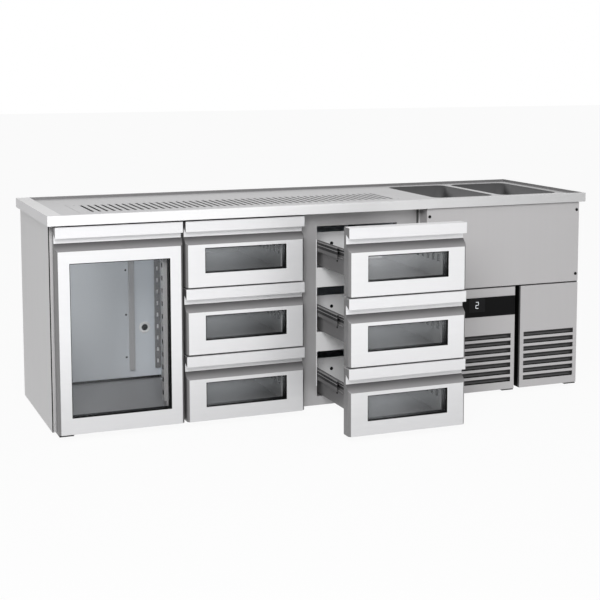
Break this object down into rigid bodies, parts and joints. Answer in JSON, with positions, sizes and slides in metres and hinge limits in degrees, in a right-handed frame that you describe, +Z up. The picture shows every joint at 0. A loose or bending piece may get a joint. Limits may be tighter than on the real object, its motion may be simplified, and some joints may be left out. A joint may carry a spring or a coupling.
{
  "type": "beer counter",
  "caption": "Stainless refrigerated bar counter with a glass door, glass-fronted drawers, a louvred machine bay, a slotted drip grid and sink bowls in one worktop.",
  "frame": {"origin": "on the floor, under the centre of the bounding box, with the right-hand drawers pulled out as stored", "axes": "+X along the counter towards the machine bay, +Y from the fronts to the back, +Z up"},
  "size_m": [2.3, 1.105, 0.85],
  "materials": {
    "front_steel": "satin, brushed along the front",
    "worktop_steel": "satin, brushed along the worktop",
    "bowl_steel": "satin, pressed",
    "outer_steel": "satin",
    "panel_steel": "satin, brushed upright",
    "frame_steel": "satin",
    "liner_steel": "satin",
    "box_steel": "satin",
    "runner_steel": "zinc plated",
    "chromed_brass": "polished",
    "black_screw": "satin",
    "black_steel": "satin black",
    "black_plastic": "matt",
    "black_fascia": "gloss",
    "insulating_glass": "clear",
    "gasket_rubber": "matt",
    "coil_aluminium": "bare",
    "fan_plastic": "matt",
    "compressor_paint": "satin black"
  },
  "bodies": {
    "cabinet": {"worktop": "worktop_steel", "drip_pan": "worktop_steel", "sink_bowls": "bowl_steel", "wastes": "chromed_brass", "left_wall": "outer_steel", "right_wall": "outer_steel", "back_panel": "outer_steel", "floor_panels": "liner_steel", "ceiling_panel": "liner_steel", "bulkhead": "liner_steel", "pillars": "liner_steel", "front_frame": "frame_steel", "bay_frame": "frame_steel", "service_panel": "panel_steel", "panel_screws": "black_screw", "hinge_plates": "black_steel", "runner_rails": "runner_steel", "pilasters": "liner_steel", "evaporator": "coil_aluminium", "condenser": "coil_aluminium", "compressor": "compressor_paint", "feet": "black_plastic"},
    "door": {"door_front": "front_steel", "door_glass": "insulating_glass", "door_gasket": "gasket_rubber"},
    "left_drawer_1": {"left_drawer_1_front": "front_steel", "left_drawer_1_glass": "insulating_glass", "left_drawer_1_gasket": "gasket_rubber", "left_drawer_1_box": "box_steel"},
    "left_drawer_1_carriage": {"left_drawer_1_runners": "runner_steel"},
    "left_drawer_2": {"left_drawer_2_front": "front_steel", "left_drawer_2_glass": "insulating_glass", "left_drawer_2_gasket": "gasket_rubber", "left_drawer_2_box": "box_steel"},
    "left_drawer_2_carriage": {"left_drawer_2_runners": "runner_steel"},
    "left_drawer_3": {"left_drawer_3_front": "front_steel", "left_drawer_3_glass": "insulating_glass", "left_drawer_3_gasket": "gasket_rubber", "left_drawer_3_box": "box_steel"},
    "left_drawer_3_carriage": {"left_drawer_3_runners": "runner_steel"},
    "right_drawer_1": {"right_drawer_1_front": "front_steel", "right_drawer_1_glass": "insulating_glass", "right_drawer_1_gasket": "gasket_rubber", "right_drawer_1_box": "box_steel"},
    "right_drawer_1_carriage": {"right_drawer_1_runners": "runner_steel"},
    "right_drawer_2": {"right_drawer_2_front": "front_steel", "right_drawer_2_glass": "insulating_glass", "right_drawer_2_gasket": "gasket_rubber", "right_drawer_2_box": "box_steel"},
    "right_drawer_2_carriage": {"right_drawer_2_runners": "runner_steel"},
    "right_drawer_3": {"right_drawer_3_front": "front_steel", "right_drawer_3_glass": "insulating_glass", "right_drawer_3_gasket": "gasket_rubber", "right_drawer_3_box": "box_steel"},
    "right_drawer_3_carriage": {"right_drawer_3_runners": "runner_steel"},
    "control_door": {"control_panel": "panel_steel", "control_fascia": "black_fascia"},
    "grille_door": {"grille_panel": "panel_steel"},
    "drip_cover": {"drip_grid": "worktop_steel"},
    "fan": {"condenser_fan": "fan_plastic"}
  },
  "joints": [
    {"name": "door_hinge", "type": "hinge", "parent": "cabinet", "child": "door", "pos_m": [-1.109, -0.1205, 0.41], "axis": [0, 0, -1], "range_deg": [0, 105]},
    {"name": "control_hinge", "type": "hinge", "parent": "cabinet", "child": "control_door", "pos_m": [0.807, -0.1205, 0.24], "axis": [0, 0, 1], "range_deg": [0, 90]},
    {"name": "grille_hinge", "type": "hinge", "parent": "cabinet", "child": "grille_door", "pos_m": [1.116, -0.1205, 0.24], "axis": [0, 0, 1], "range_deg": [0, 90]},
    {"name": "drip_grid_lift", "type": "slide", "parent": "cabinet", "child": "drip_cover", "axis": [0, 0, 1], "range_m": [0, 0.12]},
    {"name": "fan_spin", "type": "hinge", "parent": "cabinet", "child": "fan", "pos_m": [0.6013, 0.0535, 0.171], "axis": [0, 1, 0], "continuous": true},
    {"name": "left_drawer_1_slide", "type": "slide", "parent": "cabinet", "child": "left_drawer_1", "axis": [0, -1, 0], "range_m": [0, 0.5]},
    {"name": "left_drawer_1_carriage_slide", "type": "slide", "parent": "cabinet", "child": "left_drawer_1_carriage", "axis": [0, -1, 0], "range_m": [0, 0.25]},
    {"name": "left_drawer_2_slide", "type": "slide", "parent": "cabinet", "child": "left_drawer_2", "axis": [0, -1, 0], "range_m": [0, 0.5]},
    {"name": "left_drawer_2_carriage_slide", "type": "slide", "parent": "cabinet", "child": "left_drawer_2_carriage", "axis": [0, -1, 0], "range_m": [0, 0.25]},
    {"name": "left_drawer_3_slide", "type": "slide", "parent": "cabinet", "child": "left_drawer_3", "axis": [0, -1, 0], "range_m": [0, 0.5]},
    {"name": "left_drawer_3_carriage_slide", "type": "slide", "parent": "cabinet", "child": "left_drawer_3_carriage", "axis": [0, -1, 0], "range_m": [0, 0.25]},
    {"name": "right_drawer_1_slide", "type": "slide", "parent": "cabinet", "child": "right_drawer_1", "axis": [0, -1, 0], "range_m": [-0.42, 0.08]},
    {"name": "right_drawer_1_carriage_slide", "type": "slide", "parent": "cabinet", "child": "right_drawer_1_carriage", "axis": [0, -1, 0], "range_m": [-0.21, 0.04]},
    {"name": "right_drawer_2_slide", "type": "slide", "parent": "cabinet", "child": "right_drawer_2", "axis": [0, -1, 0], "range_m": [-0.42, 0.08]},
    {"name": "right_drawer_2_carriage_slide", "type": "slide", "parent": "cabinet", "child": "right_drawer_2_carriage", "axis": [0, -1, 0], "range_m": [-0.21, 0.04]},
    {"name": "right_drawer_3_slide", "type": "slide", "parent": "cabinet", "child": "right_drawer_3", "axis": [0, -1, 0], "range_m": [-0.42, 0.08]},
    {"name": "right_drawer_3_carriage_slide", "type": "slide", "parent": "cabinet", "child": "right_drawer_3_carriage", "axis": [0, -1, 0], "range_m": [-0.21, 0.04]}
  ],
  "couplings": [
    {"joint": "left_drawer_1_carriage_slide", "follows": "left_drawer_1_slide", "ratio": 0.5},
    {"joint": "left_drawer_2_carriage_slide", "follows": "left_drawer_2_slide", "ratio": 0.5},
    {"joint": "left_drawer_3_carriage_slide", "follows": "left_drawer_3_slide", "ratio": 0.5},
    {"joint": "right_drawer_1_carriage_slide", "follows": "right_drawer_1_slide", "ratio": 0.5},
    {"joint": "right_drawer_2_carriage_slide", "follows": "right_drawer_2_slide", "ratio": 0.5},
    {"joint": "right_drawer_3_carriage_slide", "follows": "right_drawer_3_slide", "ratio": 0.5}
  ]
}
